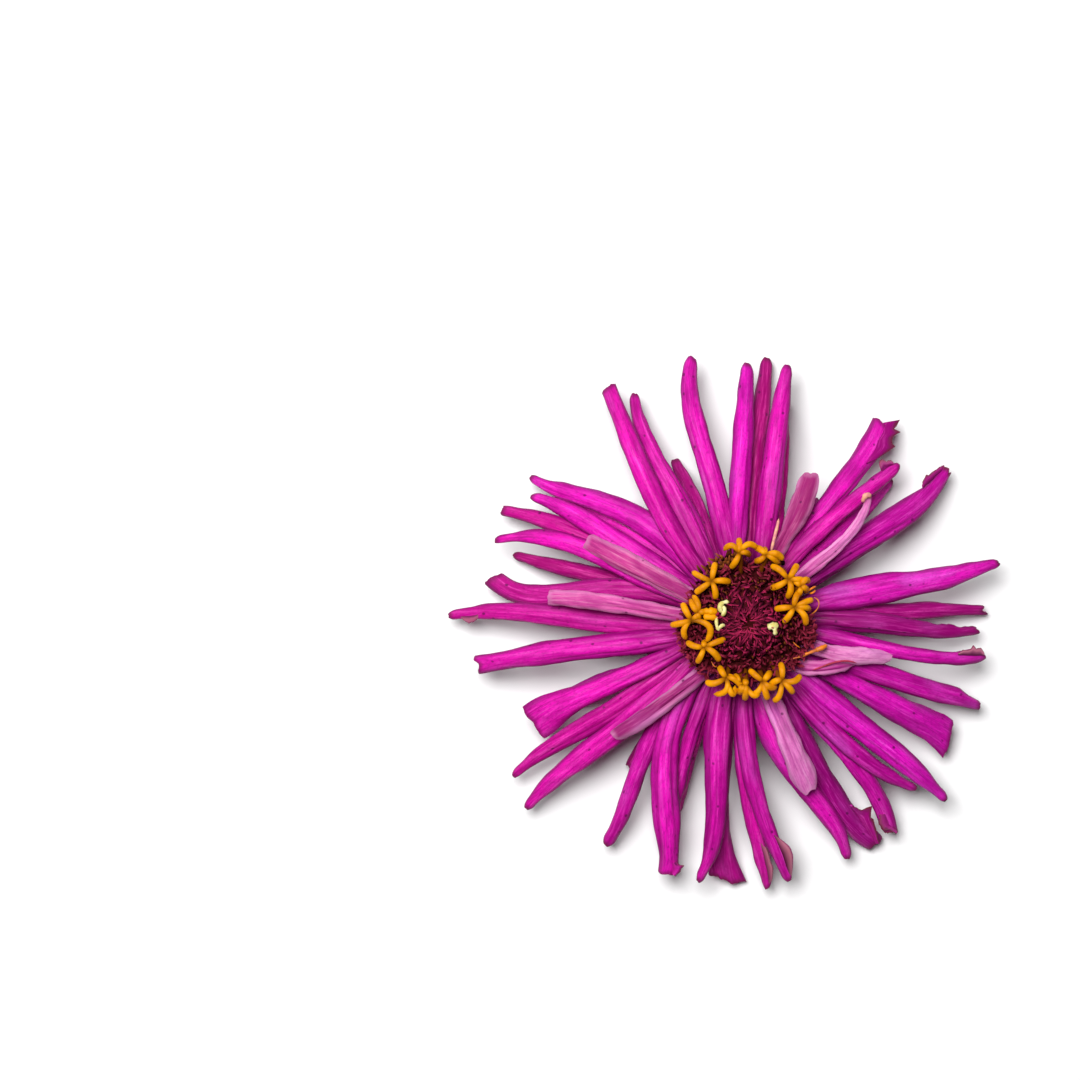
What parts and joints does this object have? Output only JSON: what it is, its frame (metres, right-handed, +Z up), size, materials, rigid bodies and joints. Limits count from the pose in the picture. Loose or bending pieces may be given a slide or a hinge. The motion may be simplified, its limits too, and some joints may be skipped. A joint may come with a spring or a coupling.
{
  "type": "zinnia flower",
  "caption": "Picked cactus-type zinnia head lying face up: long rolled magenta petals round a dark chaff disc ringed with yellow star florets, on a green cup of bracts.",
  "frame": {"origin": "centre of the flat spot under the bract cup, on which the flower rests", "axes": "+Z up out of the flower's face, +X and +Y across the petals"},
  "size_m": [0.0971, 0.0935, 0.0216],
  "materials": {
    "green_bracts": "matte",
    "magenta_petals": "satin",
    "maroon_chaff": "matte",
    "yellow_florets": "satin"
  },
  "bodies": {
    "root": {"green_cup": "green_bracts", "ray_florets": "magenta_petals", "chaff_disc": "maroon_chaff", "disc_florets": "yellow_florets"}
  },
  "joints": []
}
